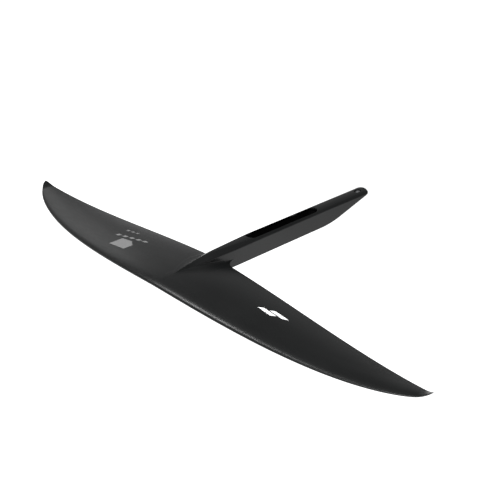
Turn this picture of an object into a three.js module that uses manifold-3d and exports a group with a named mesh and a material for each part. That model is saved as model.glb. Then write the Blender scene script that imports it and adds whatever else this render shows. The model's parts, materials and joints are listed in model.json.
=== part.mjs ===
// The front wing of a hydrofoil, moulded in one piece with its fuselage: two carbon skins over foam
// cores and a spar, a socket for the mast on top, and a sloped seat for a stabiliser under the tail.
//
// Millimetres. +X is port, -Y is forward (the leading edge), +Z is up. The origin is the middle of
// the mast socket's floor.
import * as THREE from "three";
import { mergeVertices } from "three/addons/utils/BufferGeometryUtils.js";
import Module from "manifold-3d";

const wasm = await Module();
wasm.setup();

// ---- Driving dimensions: wing ----
const SPAN = 920;
const HALF_SPAN = SPAN / 2;
const ROOT_CHORD = 132.6;
const CHORD_POWER = 1.695; // how late the chord starts to shrink
const CHORD_ROUNDING = 0.601; // 0.5 would make the tip elliptical
const ROOT_TRAILING_Y = -134.5;
const ROOT_TRAILING_Z = 1;
const TRAILING_SWEEP = 4.3; // how far forward the trailing edge curves at the tip
const SWEEP_POWER = 4;
const DROOP = 62.6;
const DROOP_POWER = 1.5;
const DROOP_RECOVERY = 36.5; // the outer wing levels out again
const RECOVERY_POWER = 3.5;
const FLICK_START = 0.966; // the last part of each tip turns up
const FLICK_RISE = 6.8;
const FLICK_SWEEP = 4.56;
const INCIDENCE = Math.tan(THREE.MathUtils.degToRad(1.885));
const CAMBER = 0.018;
const THICKNESS = 0.082; // of the chord, on top of the edge thickness
const REAR_FULLNESS = 0.3; // keeps the section thick behind its middle
const THICKEST_VALUE = 0.4258; // the thickness formula's highest value
const EDGE_HALF = 0.5; // half the thickness at the leading and trailing edges
const WING_SKIN = 1.5;

// ---- Driving dimensions: fuselage ----
const FUSELAGE_HALF_WIDTH = 13.3;
const NOSE_Y = -240;
const NOSE_LENGTH = 145;
const NOSE_POWER = 0.9;
const TAIL_Y = 191.5;
const TAIL_ROUNDING = 14;
const TAIL_SQUARENESS = 2.35; // 2 would make the tail's end elliptical
const CROWN_Z = 22.3;
const CROWN_BEND = 0.8; // how far the rim lies below the crown
const RIDGE_END_Y = -148; // the crown rises out of the wing up to here
const RIDGE_LENGTH = 92;
const RIDGE_DROP = 13.5;
const RIDGE_POWER = 1.5;
const RIM_HALF_WIDTH = 9.5;
const RIM_LEAST_HALF_WIDTH = 0.8;
const RIM_START_Y = -181.1; // the rim widens from here aft
const RIM_SLOPE = 0.083;
const RIM_SHARE = 0.72; // the rim's share of the width, at most
const SHOULDER_DROP = 4.4; // from the crown to the top of the side, at y = 0
const SHOULDER_SLOPE = 0.0118; // the drop shrinks by this towards the tail
const SHOULDER_LEAST_DROP = 3.4;
const SHOULDER_SHARE = 0.45; // the drop's share of the height, at most
const BELLY_Z = -11.5; // at y = 0
const BELLY_SLOPE = 0.0155;
const BELLY_FAIRING_Y = -120; // the belly rises to the wing ahead of here
const BELLY_FAIRING_LENGTH = 110;
const BELLY_FAIRING_RISE = 17;
const BELLY_FAIRING_POWER = 1.8;
const BELLY_CORNER = 3;
const SEAT_SLOPE = 0.305; // the stabiliser's seat
const SEAT_BEND_Y = 99.8;
const SEAT_BEND_HALF = 22;
const SEAM_RISE = 19.3; // the seam between the skins rises by this towards the tail
const SEAM_RISE_Y = 40;
const SEAM_RISE_POWER = 1.6;
const FUSELAGE_WALL = 1.7;
const FILLET_OUT = 19; // the fillet's reach over the wing
const FILLET_UP = 5.5; // the fillet's reach up the fuselage
const FILLET_BEHIND = 14; // the fillet's reach behind the trailing edge
const FOOT_DEPTH = 0.15; // the fillet ends this far inside the wing
const RIDGE_LEAST_HEIGHT = 0.3; // ahead of where the ridge stands this high, it stays in the wing
const HIDDEN_DEPTH = 0.4;
const BELOW_WING = 30; // the side runs on this far into the wing before the fillet cuts it off

// ---- Driving dimensions: sockets and fasteners ----
const GAP = 0.3; // between bonded pieces
const ROOM_BELOW = 5; // the rooms cut for sleeves run on past the belly by this
const SLOT_HALF_WIDTH = 9.45;
const SLOT_HALF_LENGTH = 76;
const SLEEVE_RECESS = 0.15;
const SEAT_RECESS = 0.1;
const SOCKET_WALL = 1.9;
const SOCKET_FLOOR = 2.6;
const SOCKET_RIM_Z = 16.8;
const LOAD_PLATE_BOTTOM_Z = -8.3;
const MAST_BOLT_Y = 50; // in front of and behind the origin
const MAST_BOLT_RADIUS = 4.3;
const MAST_HEAD_RADIUS = 8.2;
const MAST_SLEEVE_RADIUS = 7;
const MAST_FLANGE_RADIUS = 9.2;
const MAST_FLANGE_DEPTH = 3;
const POCKET_Y = 174.5;
const POCKET_HALF_WIDTH = 4.5;
const POCKET_HALF_LENGTH = 6.5;
const POCKET_FLOOR_Z = 19.4;
const TAIL_SLEEVE_TOP_Z = 20.25;
const TAIL_SLEEVE_RADIUS = 4.2;
const TAIL_BOLT_RADIUS = 3.1;
const INSERT_Y = 142;
const INSERT_RADIUS = 4.7;
const INSERT_LENGTH = 14;
const INSERT_THREAD_RADIUS = 2.6;
const INSERT_THREAD_DEPTH = 11;

// ---- Driving dimensions: inside the wing, as fractions of the chord or of the half span ----
const SPAR_FRONT = 0.3;
const SPAR_REAR = 0.46;
const CAP_SHARE = 0.14; // of the local thickness
const CORE_LEAST_HEIGHT = 1.4;
const EDGE_FILLER_WIDTH = 0.05;
const TRAILING_STRIP_WIDTH = 0.09;
const CORE_END = 0.83;
const WEB_END = 0.67;
const CAVITY_END = 0.9;
const ROOT_CORE_HALF_WIDTH = 11.6;

const WING_STATIONS = [
  0, 0.03, 0.05, 0.075, 0.13, 0.22, 0.34, 0.46, 0.57, 0.67, 0.76, 0.83, 0.875, 0.93, 0.966,
  0.976, 0.985, 0.993, 0.9982,
];
const SEAT_START_Y = SEAT_BEND_Y + SEAT_BEND_HALF;
const RIDGE_STATIONS = [-236, -222, -214, -206, -196, -184, -170, -156, -144];
const FILLET_STATIONS = [-134.6, -134.3, -133.5, -132, -129.5, -126.5, -123, -119.5];
const BEND_STATIONS = [SEAT_BEND_Y - SEAT_BEND_HALF, 85, 93, 101, 109, SEAT_START_Y];
const BODY_STATIONS = [-95, -69, -20, 40, ...BEND_STATIONS, TAIL_Y - TAIL_ROUNDING];
const TAIL_STATIONS = [10, 6.5, 3.5, 1.5, 0.4, 0.05].map((short) => TAIL_Y - short);
const TUNNEL_STATIONS = [84, 96, 109, SEAT_START_Y, 160];
const FAR_FORWARD_Y = -300;
const FAR_AFT_Y = TAIL_Y + 10;
const FAR_Z = 80;

// ---- Wing surface: t runs 0 to 1 from root to tip, u runs 0 to 1 from leading to trailing edge ----
function chord(t) {
  return ROOT_CHORD * (1 - t ** CHORD_POWER) ** CHORD_ROUNDING;
}

function tipFlick(t) {
  return Math.max(0, (t - FLICK_START) / (1 - FLICK_START)) ** 2;
}

function trailingY(t) {
  return ROOT_TRAILING_Y - TRAILING_SWEEP * t ** SWEEP_POWER - FLICK_SWEEP * tipFlick(t);
}

function trailingZ(t) {
  const droop = DROOP * t ** DROOP_POWER - DROOP_RECOVERY * t ** RECOVERY_POWER;
  return ROOT_TRAILING_Z - droop + FLICK_RISE * tipFlick(t);
}

function middleZ(t, u) {
  return trailingZ(t) + chord(t) * (1 - u) * (INCIDENCE + 4 * CAMBER * u);
}

function halfThickness(t, u) {
  const shape = (Math.sqrt(u) * (1 - u) * (1 + REAR_FULLNESS * u)) / THICKEST_VALUE;
  return EDGE_HALF + (THICKNESS / 2) * chord(t) * shape;
}

function wingPoint(t, u, side, inset) {
  const y = trailingY(Math.abs(t)) - chord(Math.abs(t)) * (1 - u);
  const z = middleZ(Math.abs(t), u) + side * (halfThickness(Math.abs(t), u) - inset);
  return new THREE.Vector3(t * HALF_SPAN, y, z);
}

// The middle surface between the two skins. Behind the wing it runs along the fuselage's side.
function partingZ(x, y) {
  const t = Math.abs(x) / HALF_SPAN;
  const u = 1 - (trailingY(t) - y) / chord(t);
  const aft = Math.max(0, (y - SEAM_RISE_Y) / (TAIL_Y - SEAM_RISE_Y));
  return u < 1 ? middleZ(t, Math.max(u, 0)) : trailingZ(t) + SEAM_RISE * aft ** SEAM_RISE_POWER;
}

// The upper (side 1) or lower (side -1) surface of the wing at a place in plan.
function wingZ(x, y, side) {
  const t = Math.abs(x) / HALF_SPAN;
  const u = Math.min(1, 1 - (trailingY(t) - y) / chord(t));
  return partingZ(x, y) + side * halfThickness(t, u);
}

// ---- Fuselage outline ----
function fuselageHalfWidth(y) {
  const nose = THREE.MathUtils.clamp((y - NOSE_Y) / NOSE_LENGTH, 0, 1);
  const tail = Math.max(0, (y - TAIL_Y + TAIL_ROUNDING) / TAIL_ROUNDING);
  const noseShape = Math.sin((nose * Math.PI) / 2) ** NOSE_POWER;
  const tailShape = (1 - tail ** TAIL_SQUARENESS) ** (1 / TAIL_SQUARENESS);
  return FUSELAGE_HALF_WIDTH * noseShape * tailShape;
}

function crownZ(y) {
  return CROWN_Z - RIDGE_DROP * Math.max(0, (RIDGE_END_Y - y) / RIDGE_LENGTH) ** RIDGE_POWER;
}

function bellyZ(y) {
  const bend = THREE.MathUtils.clamp(y - SEAT_BEND_Y + SEAT_BEND_HALF, 0, 2 * SEAT_BEND_HALF);
  const beyond = Math.max(0, y - SEAT_BEND_Y - SEAT_BEND_HALF);
  const turn = SEAT_SLOPE - BELLY_SLOPE;
  const ahead = Math.max(0, (BELLY_FAIRING_Y - y) / BELLY_FAIRING_LENGTH);
  const seat = turn * (bend ** 2 / (4 * SEAT_BEND_HALF) + beyond);
  return BELLY_Z + BELLY_SLOPE * y + seat + BELLY_FAIRING_RISE * ahead ** BELLY_FAIRING_POWER;
}

// Half of the fuselage's upper outline at a station, from the crown's middle down the side.
function crownOutline(y, inset = 0) {
  const width = fuselageHalfWidth(y);
  const opened = RIM_SLOPE * (y - RIM_START_Y);
  const rim = Math.min(
    THREE.MathUtils.clamp(opened, RIM_LEAST_HALF_WIDTH, RIM_HALF_WIDTH),
    RIM_SHARE * width,
  );
  const rimZ = crownZ(y) - CROWN_BEND * (rim / RIM_HALF_WIDTH) ** 2;
  const fullDrop = Math.max(SHOULDER_DROP - SHOULDER_SLOPE * y, SHOULDER_LEAST_DROP);
  const shoulderDrop = Math.min(fullDrop, SHOULDER_SHARE * (crownZ(y) - bellyZ(y)));
  return [
    new THREE.Vector2(0, crownZ(y) - inset),
    new THREE.Vector2(rim - 0.4 * inset, rimZ - inset),
    new THREE.Vector2(width - inset, crownZ(y) - shoulderDrop - 0.4 * inset),
  ];
}

// Half of the fuselage's lower outline at a station, from the belly's middle up the side.
function bellyOutline(y, inset = 0) {
  const width = fuselageHalfWidth(y);
  const height = crownZ(y) - bellyZ(y);
  const corner = Math.min(BELLY_CORNER, 0.3 * height, 0.6 * width);
  const arc = [0, 30, 60, 90].map(THREE.MathUtils.degToRad);
  const bottom = bellyZ(y) + inset;
  const rounded = arc.map((a) => {
    const x = width - corner + (corner - 0.4 * inset) * Math.sin(a) - 0.6 * inset;
    return new THREE.Vector2(x, bottom + (corner - 0.4 * inset) * (1 - Math.cos(a)));
  });
  return [new THREE.Vector2(0, bottom), ...rounded];
}

// The fillet reaches this far over the wing, and less and less behind the trailing edge.
function filletReach(y) {
  const fadeIn = THREE.MathUtils.smoothstep(y, NOSE_Y, -180);
  const behind = THREE.MathUtils.clamp((y - ROOT_TRAILING_Y) / FILLET_BEHIND, 0, 1);
  return FILLET_OUT * fadeIn * (1 - Math.sqrt(1 - (1 - behind) ** 2));
}

function pointAlong(line, distance) {
  let left = distance;
  for (let i = 1; i < line.length; i++) {
    const length = line[i].distanceTo(line[i - 1]);
    if (left <= length || i === line.length - 1) {
      return line[i - 1].clone().lerp(line[i], left / length);
    }
    left -= length;
  }
  return line[0].clone();
}

function lengthOf(line) {
  return line.slice(1).reduce((sum, p, i) => sum + p.distanceTo(line[i]), 0);
}

// How far along the outline it goes into the wing's surface.
function meetingDistance(line, y, side) {
  let low = 0;
  let high = lengthOf(line);
  for (let i = 0; i < 40; i++) {
    const half = (low + high) / 2;
    const p = pointAlong(line, half);
    if (side * (p.y - wingZ(p.x, y, side)) > 0) low = half;
    else high = half;
  }
  return low;
}

// Half a cross section, from the middle to the fillet's foot on the wing or on the side's seam.
function halfSection(y, side) {
  const outline = side > 0 ? crownOutline(y) : bellyOutline(y);
  const corner = outline.at(-1);
  const footX = fuselageHalfWidth(y) + filletReach(y);
  const foot = new THREE.Vector2(footX, wingZ(footX, y, side) - side * FOOT_DEPTH);
  const cornerLength = lengthOf(outline);
  const fractions = [0, 0.3, 0.6, 0.85, 1];
  if (side * (outline[0].y - wingZ(0, y, side)) < RIDGE_LEAST_HEIGHT) {
    const middle = new THREE.Vector2(0, wingZ(0, y, side) - side * HIDDEN_DEPTH);
    return [...Array(10).keys()].map((k) => middle.clone().lerp(foot, k / 9));
  }
  const end = new THREE.Vector2(corner.x, wingZ(corner.x, y, side) - side * BELOW_WING);
  const line = [...outline, end];
  const meeting = meetingDistance(line, y, side);
  const up = Math.min(FILLET_UP, 0.5 * meeting);
  const last = meeting - up * THREE.MathUtils.clamp(filletReach(y) / FILLET_OUT, 0.05, 1);
  const bend = Math.min(cornerLength, 0.8 * last);
  const start = pointAlong(line, last);
  const meetingPoint = pointAlong(line, meeting);
  const curve = new THREE.QuadraticBezierCurve(start, meetingPoint, foot);
  return [
    ...fractions.map((f) => pointAlong(line, f * bend)),
    ...[0, 0.3, 0.55, 0.8, 1].map((f) => curve.getPoint(f)),
  ];
}

// ---- Solids ----
function toSolid(geometry) {
  const plain = geometry.clone();
  plain.deleteAttribute("normal");
  plain.deleteAttribute("uv");
  const merged = mergeVertices(plain, 1e-4);
  const triVerts = new Uint32Array(merged.index.array);
  const mesh = { numProp: 3, vertProperties: merged.attributes.position.array, triVerts };
  const solid = new wasm.Manifold(new wasm.Mesh(mesh));
  if (solid.volume() > 0) return solid;
  triVerts.reverse();
  return new wasm.Manifold(new wasm.Mesh(mesh));
}

// A closed solid through rings of points that all have the same count.
function loft(rings) {
  const count = rings[0].length;
  const triangles = [];
  for (let i = 0; i + 1 < rings.length; i++) {
    for (let j = 0; j < count; j++) {
      const k = (j + 1) % count;
      triangles.push(rings[i][j], rings[i][k], rings[i + 1][k]);
      triangles.push(rings[i][j], rings[i + 1][k], rings[i + 1][j]);
    }
  }
  for (const [ring, turned] of [[rings[0], true], [rings.at(-1), false]]) {
    const alongX = Math.abs(ring[0].x - ring[1].x) + Math.abs(ring[1].x - ring[2].x) < 1e-9;
    const flat = ring.map((p) => new THREE.Vector2(alongX ? p.y : p.x, p.z));
    const order = THREE.ShapeUtils.area(flat) > 0 ? 1 : -1;
    for (const face of THREE.ShapeUtils.triangulateShape(order > 0 ? flat : flat.slice().reverse(), [])) {
      const corners = face.map((n) => ring[order > 0 ? n : count - 1 - n]);
      if ((order > 0) === turned) corners.reverse();
      triangles.push(...corners);
    }
  }
  return toSolid(new THREE.BufferGeometry().setFromPoints(triangles));
}

function obround(halfWidth, halfLength) {
  const shape = new THREE.Shape();
  const straight = halfLength - halfWidth;
  shape.absarc(0, straight, halfWidth, 0, Math.PI);
  shape.absarc(0, -straight, halfWidth, Math.PI, 2 * Math.PI);
  return shape;
}

function prism(shape, bottomZ, topZ, y = 0) {
  const settings = { depth: topZ - bottomZ, bevelEnabled: false, curveSegments: 10 };
  return toSolid(new THREE.ExtrudeGeometry(shape, settings).translate(0, y, bottomZ));
}

// A turned piece round a line through (0, y, z), tilted back from +Z. The profile is [radius, height].
function turned(profile, y, z, tilt = 0) {
  const points = profile.map(([radius, height]) => new THREE.Vector2(radius, height));
  const geometry = new THREE.LatheGeometry(points, 24).rotateX(Math.PI / 2 + tilt).translate(0, y, z);
  return toSolid(geometry);
}

function peg(radius, bottom, top, y, z, tilt = 0) {
  return turned([[0, bottom], [radius, bottom], [radius, top], [0, top]], y, z, tilt);
}

function tube(inner, outer, bottom, top, y, z, tilt = 0) {
  const profile = [[inner, bottom], [outer, bottom], [outer, top], [inner, top], [inner, bottom]];
  return turned(profile, y, z, tilt);
}

// ---- Wing pieces ----
const bothSides = (stations) => [...stations.slice(1).reverse().map((t) => -t), ...stations];
const stationsBetween = (from, to) => [from, ...WING_STATIONS.filter((t) => t > from && t < to), to];

function wingOuter() {
  const fractions = [...Array(12).keys()].map((k) => (k / 11) ** 1.8);
  const back = fractions.slice().reverse();
  return loft(
    bothSides(WING_STATIONS).map((t) => [
      ...fractions.map((u) => wingPoint(t, u, 1, 0)),
      ...back.map((u) => wingPoint(t, u, -1, 0)),
    ]),
  );
}

// The first or the last chord fraction where the core still has its least height.
function coreLimit(t, atTrailingEdge) {
  let outside = atTrailingEdge ? 1 : 0;
  let inside = SPAR_REAR;
  for (let i = 0; i < 30; i++) {
    const half = (outside + inside) / 2;
    const height = 2 * (halfThickness(Math.abs(t), half) - WING_SKIN);
    if (height >= CORE_LEAST_HEIGHT) inside = half;
    else outside = half;
  }
  return inside;
}

// A slab of the wing's inside between two chord fractions. Insets are measured from each surface,
// and a crowding above 1 packs the points towards the front.
function slab(stations, front, rear, topInset, bottomInset, steps, crowding = 1) {
  const rings = stations.map((t) => {
    const width = rear(t) - front(t);
    const fractions = [...Array(steps + 1).keys()].map((k) => front(t) + width * (k / steps) ** crowding);
    return [
      ...fractions.map((u) => wingPoint(t, u, 1, topInset(t, u))),
      ...fractions.reverse().map((u) => wingPoint(t, u, -1, bottomInset(t, u))),
    ];
  });
  return loft(rings);
}

const gapFraction = (t) => GAP / chord(Math.abs(t));
const frontLimit = (t) => coreLimit(t, false);
const rearLimit = (t) => coreLimit(t, true);
const skinInset = () => WING_SKIN;
const coreInset = () => WING_SKIN + GAP;
const capDepth = (t, u) => CAP_SHARE * 2 * halfThickness(Math.abs(t), u);
const mirrored = (stations, hand) => stations.map((t) => t * hand);

function wingCavity() {
  const stations = bothSides([0, ...WING_STATIONS.filter((t) => t > 0 && t < CAVITY_END), CAVITY_END]);
  return slab(stations, frontLimit, rearLimit, skinInset, skinInset, 11, 1.6);
}

function leadingFiller(hand) {
  const stations = mirrored(stationsBetween(GAP / 2 / HALF_SPAN, CORE_END), hand);
  const front = (t) => frontLimit(t) + gapFraction(t);
  const rear = (t) => frontLimit(t) + EDGE_FILLER_WIDTH;
  return slab(stations, front, rear, coreInset, coreInset, 2);
}

function frontCore(hand) {
  const stations = mirrored(stationsBetween(GAP / 2 / HALF_SPAN, CORE_END), hand);
  const front = (t) => frontLimit(t) + EDGE_FILLER_WIDTH + gapFraction(t);
  const rear = (t) => SPAR_FRONT - gapFraction(t);
  return slab(stations, front, rear, coreInset, coreInset, 3);
}

const rootStation = (ROOT_CORE_HALF_WIDTH + GAP) / HALF_SPAN;

function rearCore(hand) {
  const stations = mirrored(stationsBetween(rootStation, CORE_END), hand);
  const front = (t) => SPAR_REAR + gapFraction(t);
  const rear = (t) => rearLimit(t) - TRAILING_STRIP_WIDTH - gapFraction(t);
  return slab(stations, front, rear, coreInset, coreInset, 4);
}

function trailingStrip(hand) {
  const stations = mirrored(stationsBetween(rootStation, CORE_END), hand);
  const front = (t) => rearLimit(t) - TRAILING_STRIP_WIDTH;
  const rear = (t) => rearLimit(t) - gapFraction(t);
  return slab(stations, front, rear, coreInset, coreInset, 2);
}

function tipBlock(hand) {
  const stations = mirrored([CORE_END + GAP / HALF_SPAN, CAVITY_END - GAP / HALF_SPAN], hand);
  const front = (t) => frontLimit(t) + gapFraction(t);
  const rear = (t) => rearLimit(t) - gapFraction(t);
  return slab(stations, front, rear, coreInset, coreInset, 7);
}

// A cap lies under its skin (side 1) or on it (side -1), and hands its depth on to the web.
function sparCap(side) {
  const stations = bothSides([0, ...stationsBetween(WING_STATIONS[1], CORE_END)]);
  const near = coreInset;
  const far = (t, u) => 2 * halfThickness(Math.abs(t), u) - coreInset() - capDepth(t, u);
  const [top, bottom] = side > 0 ? [near, far] : [far, near];
  return slab(stations, () => SPAR_FRONT, () => SPAR_REAR, top, bottom, 3);
}

function sparWeb() {
  const stations = bothSides([0, ...stationsBetween(WING_STATIONS[1], WEB_END)]);
  const inset = (t, u) => coreInset() + capDepth(t, u) + GAP;
  return slab(stations, () => SPAR_FRONT, () => SPAR_REAR, inset, inset, 3);
}

// ---- Fuselage pieces ----
const fullRing = (half, y) => [
  ...half.map((p) => new THREE.Vector3(p.x, y, p.y)),
  ...half.slice(1, -1).reverse().map((p) => new THREE.Vector3(-p.x, y, p.y)),
];

function fuselageOuter() {
  const stations = [...RIDGE_STATIONS, ...FILLET_STATIONS, ...BODY_STATIONS, ...TAIL_STATIONS];
  return loft(stations.map((y) => fullRing([...halfSection(y, 1), ...halfSection(y, -1).reverse()], y)));
}

function tunnel(stations, inset) {
  const halfRing = (y) => [...crownOutline(y, inset), ...bellyOutline(y, inset).reverse()];
  return loft(stations.map((y) => fullRing(halfRing(y), y)));
}

const sparRearY = trailingY(0) - chord(0) * (1 - SPAR_REAR);
const noseStations = (start, end) => [start, -196, -184, -170, -156, -144, -132, -119.5, -107, -95, end];
const seatTilt = Math.atan(SEAT_SLOPE);
const socketOuter = [SLOT_HALF_WIDTH + SOCKET_WALL, SLOT_HALF_LENGTH + SOCKET_WALL];
const cavityTopZ = SOCKET_RIM_Z + GAP;
const cavityBottomZ = LOAD_PLATE_BOTTOM_Z - GAP;

function noseCore() {
  const front = (t) => SPAR_REAR + gapFraction(t);
  const rear = (t) => rearLimit(t) - gapFraction(t);
  const edge = ROOT_CORE_HALF_WIDTH / HALF_SPAN;
  const root = slab([-edge, 0, edge], front, rear, coreInset, coreInset, 5);
  const start = sparRearY + 2 * GAP;
  return root.add(tunnel(noseStations(start, -85 - GAP), FUSELAGE_WALL + GAP));
}

function fuselageCavity() {
  const nose = tunnel(noseStations(sparRearY, -85), FUSELAGE_WALL);
  const socket = prism(obround(socketOuter[0] + GAP, socketOuter[1] + GAP), cavityBottomZ, cavityTopZ);
  return nose.add(socket).add(tunnel(TUNNEL_STATIONS, FUSELAGE_WALL));
}

// The tail sleeve runs square to the seat, from the pocket's floor down to it.
const sleeveSeatY = POCKET_Y + 2;
const sleeveSeatZ = bellyZ(sleeveSeatY);
const sleeveLength = (TAIL_SLEEVE_TOP_Z - sleeveSeatZ) * Math.cos(seatTilt);

function mastSleeveBottom(y) {
  return bellyZ(y) + SLEEVE_RECESS;
}

function mastSleeve(y) {
  const bottom = mastSleeveBottom(y);
  const countersink = MAST_HEAD_RADIUS - MAST_BOLT_RADIUS;
  return turned(
    [
      [MAST_BOLT_RADIUS, bottom + countersink],
      [MAST_HEAD_RADIUS, bottom],
      [MAST_FLANGE_RADIUS, bottom],
      [MAST_FLANGE_RADIUS, bottom + MAST_FLANGE_DEPTH],
      [MAST_SLEEVE_RADIUS, bottom + MAST_FLANGE_DEPTH],
      [MAST_SLEEVE_RADIUS, -GAP],
      [MAST_BOLT_RADIUS, -GAP],
      [MAST_BOLT_RADIUS, bottom + countersink],
    ],
    y,
    0,
  );
}

// The room that a mast sleeve takes, with its gap.
function mastSleeveRoom(y) {
  const flangeTop = mastSleeveBottom(y) + MAST_FLANGE_DEPTH + GAP;
  const bottom = bellyZ(y) - ROOM_BELOW;
  const shaft = peg(MAST_SLEEVE_RADIUS + GAP, bottom, 1, y, 0);
  return shaft.add(peg(MAST_FLANGE_RADIUS + GAP, bottom, flangeTop, y, 0));
}

const mastSleeveRooms = mastSleeveRoom(-MAST_BOLT_Y).add(mastSleeveRoom(MAST_BOLT_Y));

function mastSocket() {
  const outer = prism(obround(...socketOuter), -SOCKET_FLOOR, SOCKET_RIM_Z);
  const hollow = prism(obround(SLOT_HALF_WIDTH, SLOT_HALF_LENGTH), 0, SOCKET_RIM_Z + 5);
  return outer.subtract(hollow).subtract(mastSleeveRooms);
}

function mastLoadPlate() {
  const outline = obround(socketOuter[0], socketOuter[1]);
  return prism(outline, LOAD_PLATE_BOTTOM_Z, -SOCKET_FLOOR - GAP).subtract(mastSleeveRooms);
}

function stabiliserSleeve() {
  const [inner, outer] = [TAIL_BOLT_RADIUS, TAIL_SLEEVE_RADIUS];
  return tube(inner, outer, SEAT_RECESS, sleeveLength, sleeveSeatY, sleeveSeatZ, seatTilt);
}

function stabiliserInsert() {
  const profile = [
    [0, INSERT_THREAD_DEPTH],
    [INSERT_THREAD_RADIUS, INSERT_THREAD_DEPTH],
    [INSERT_THREAD_RADIUS, SEAT_RECESS],
    [INSERT_RADIUS, SEAT_RECESS],
    [INSERT_RADIUS, INSERT_LENGTH],
    [0, INSERT_LENGTH],
  ];
  return turned(profile, INSERT_Y, bellyZ(INSERT_Y), seatTilt);
}

const insertRoomTop = INSERT_LENGTH + GAP;
const insertRoom = peg(
  INSERT_RADIUS + GAP, -ROOM_BELOW, insertRoomTop, INSERT_Y, bellyZ(INSERT_Y), seatTilt,
);

function tailCore() {
  const stations = TUNNEL_STATIONS.slice();
  stations[0] += GAP;
  stations[stations.length - 1] -= GAP;
  return tunnel(stations, FUSELAGE_WALL + GAP).subtract(insertRoom);
}

// ---- Skins ----
function shell() {
  const slot = prism(obround(SLOT_HALF_WIDTH, SLOT_HALF_LENGTH), SOCKET_RIM_Z - 1, CROWN_Z + 5);
  const pocket = prism(obround(POCKET_HALF_WIDTH, POCKET_HALF_LENGTH), POCKET_FLOOR_Z, CROWN_Z + 5, POCKET_Y);
  const sleeveRoom = peg(
    TAIL_SLEEVE_RADIUS + GAP, -ROOM_BELOW, sleeveLength + 1, sleeveSeatY, sleeveSeatZ, seatTilt,
  );
  return wingOuter()
    .add(fuselageOuter())
    .subtract(wingCavity())
    .subtract(fuselageCavity())
    .subtract(slot)
    .subtract(pocket)
    .subtract(sleeveRoom)
    .subtract(mastSleeveRooms)
    .subtract(insertRoom);
}

// Everything above (side 1) or below (side -1) the parting surface, half a gap clear of it.
function halfSpace(side) {
  const xs = bothSides([...WING_STATIONS, 1.02]).map((t) => t * HALF_SPAN);
  const aft = [-130, -60, 40, 60, 80, 100, 120, 140, 160, 180, FAR_AFT_Y];
  return loft(
    xs.map((x) => {
      const t = Math.min(Math.abs(x) / HALF_SPAN, WING_STATIONS.at(-1));
      const line = [-0.2, 0, 0.12, 0.3, 0.5, 0.75, 1].map((u) => {
        return new THREE.Vector3(x, trailingY(t) - chord(t) * (1 - u), middleZ(t, Math.max(u, 0)));
      });
      line[0].y = FAR_FORWARD_Y;
      const tail = aft.map((y) => new THREE.Vector3(x, y, partingZ(t * HALF_SPAN, y)));
      const surface = [...line, ...tail].map((p) => p.setZ(p.z + (side * GAP) / 2));
      const far = [FAR_AFT_Y, FAR_FORWARD_Y].map((y) => new THREE.Vector3(x, y, side * FAR_Z));
      return [...surface, ...far];
    }),
  );
}

// ---- The assembly ----
const wing = new THREE.Group();

function material(color, roughness, metalness = 0) {
  return new THREE.MeshStandardMaterial({ color, roughness, metalness });
}

const carbon = material(0x1b1d1e, 0.45);
const carbonStrip = material(0x2a2c2e, 0.5);
const foam = material(0xd8cfb4, 0.9);
const denseFoam = material(0xb9a67c, 0.8);
const aluminium = material(0xb4b8bc, 0.35, 1);
const steel = material(0x9a9da0, 0.3, 1);

function add(name, solid, finish) {
  const { vertProperties, triVerts } = solid.getMesh();
  const geometry = new THREE.BufferGeometry();
  geometry.setAttribute("position", new THREE.BufferAttribute(vertProperties, 3));
  geometry.setIndex(new THREE.BufferAttribute(triVerts, 1));
  geometry.computeVertexNormals();
  const mesh = new THREE.Mesh(geometry, finish);
  mesh.name = name;
  wing.add(mesh);
}

const wholeShell = shell();
add("upper_skin", wholeShell.intersect(halfSpace(1)), carbon);
add("lower_skin", wholeShell.intersect(halfSpace(-1)), carbon);
for (const [handName, hand] of [["port", 1], ["starboard", -1]]) {
  add(`${handName}_leading_edge_filler`, leadingFiller(hand), carbonStrip);
  add(`${handName}_front_core`, frontCore(hand), foam);
  add(`${handName}_rear_core`, rearCore(hand), foam);
  add(`${handName}_trailing_edge_strip`, trailingStrip(hand), carbonStrip);
  add(`${handName}_tip_block`, tipBlock(hand), denseFoam);
}
add("spar_upper_cap", sparCap(1), carbonStrip);
add("spar_lower_cap", sparCap(-1), carbonStrip);
add("spar_web", sparWeb(), denseFoam);
add("nose_core", noseCore(), foam);
add("tail_core", tailCore(), foam);
add("mast_socket", mastSocket(), carbonStrip);
add("mast_load_plate", mastLoadPlate(), aluminium);
add("mast_bolt_sleeve_front", mastSleeve(-MAST_BOLT_Y), steel);
add("mast_bolt_sleeve_rear", mastSleeve(MAST_BOLT_Y), steel);
add("stabiliser_bolt_sleeve", stabiliserSleeve(), steel);
add("stabiliser_insert", stabiliserInsert(), steel);

export default wing;
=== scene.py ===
import json
import math

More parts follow.
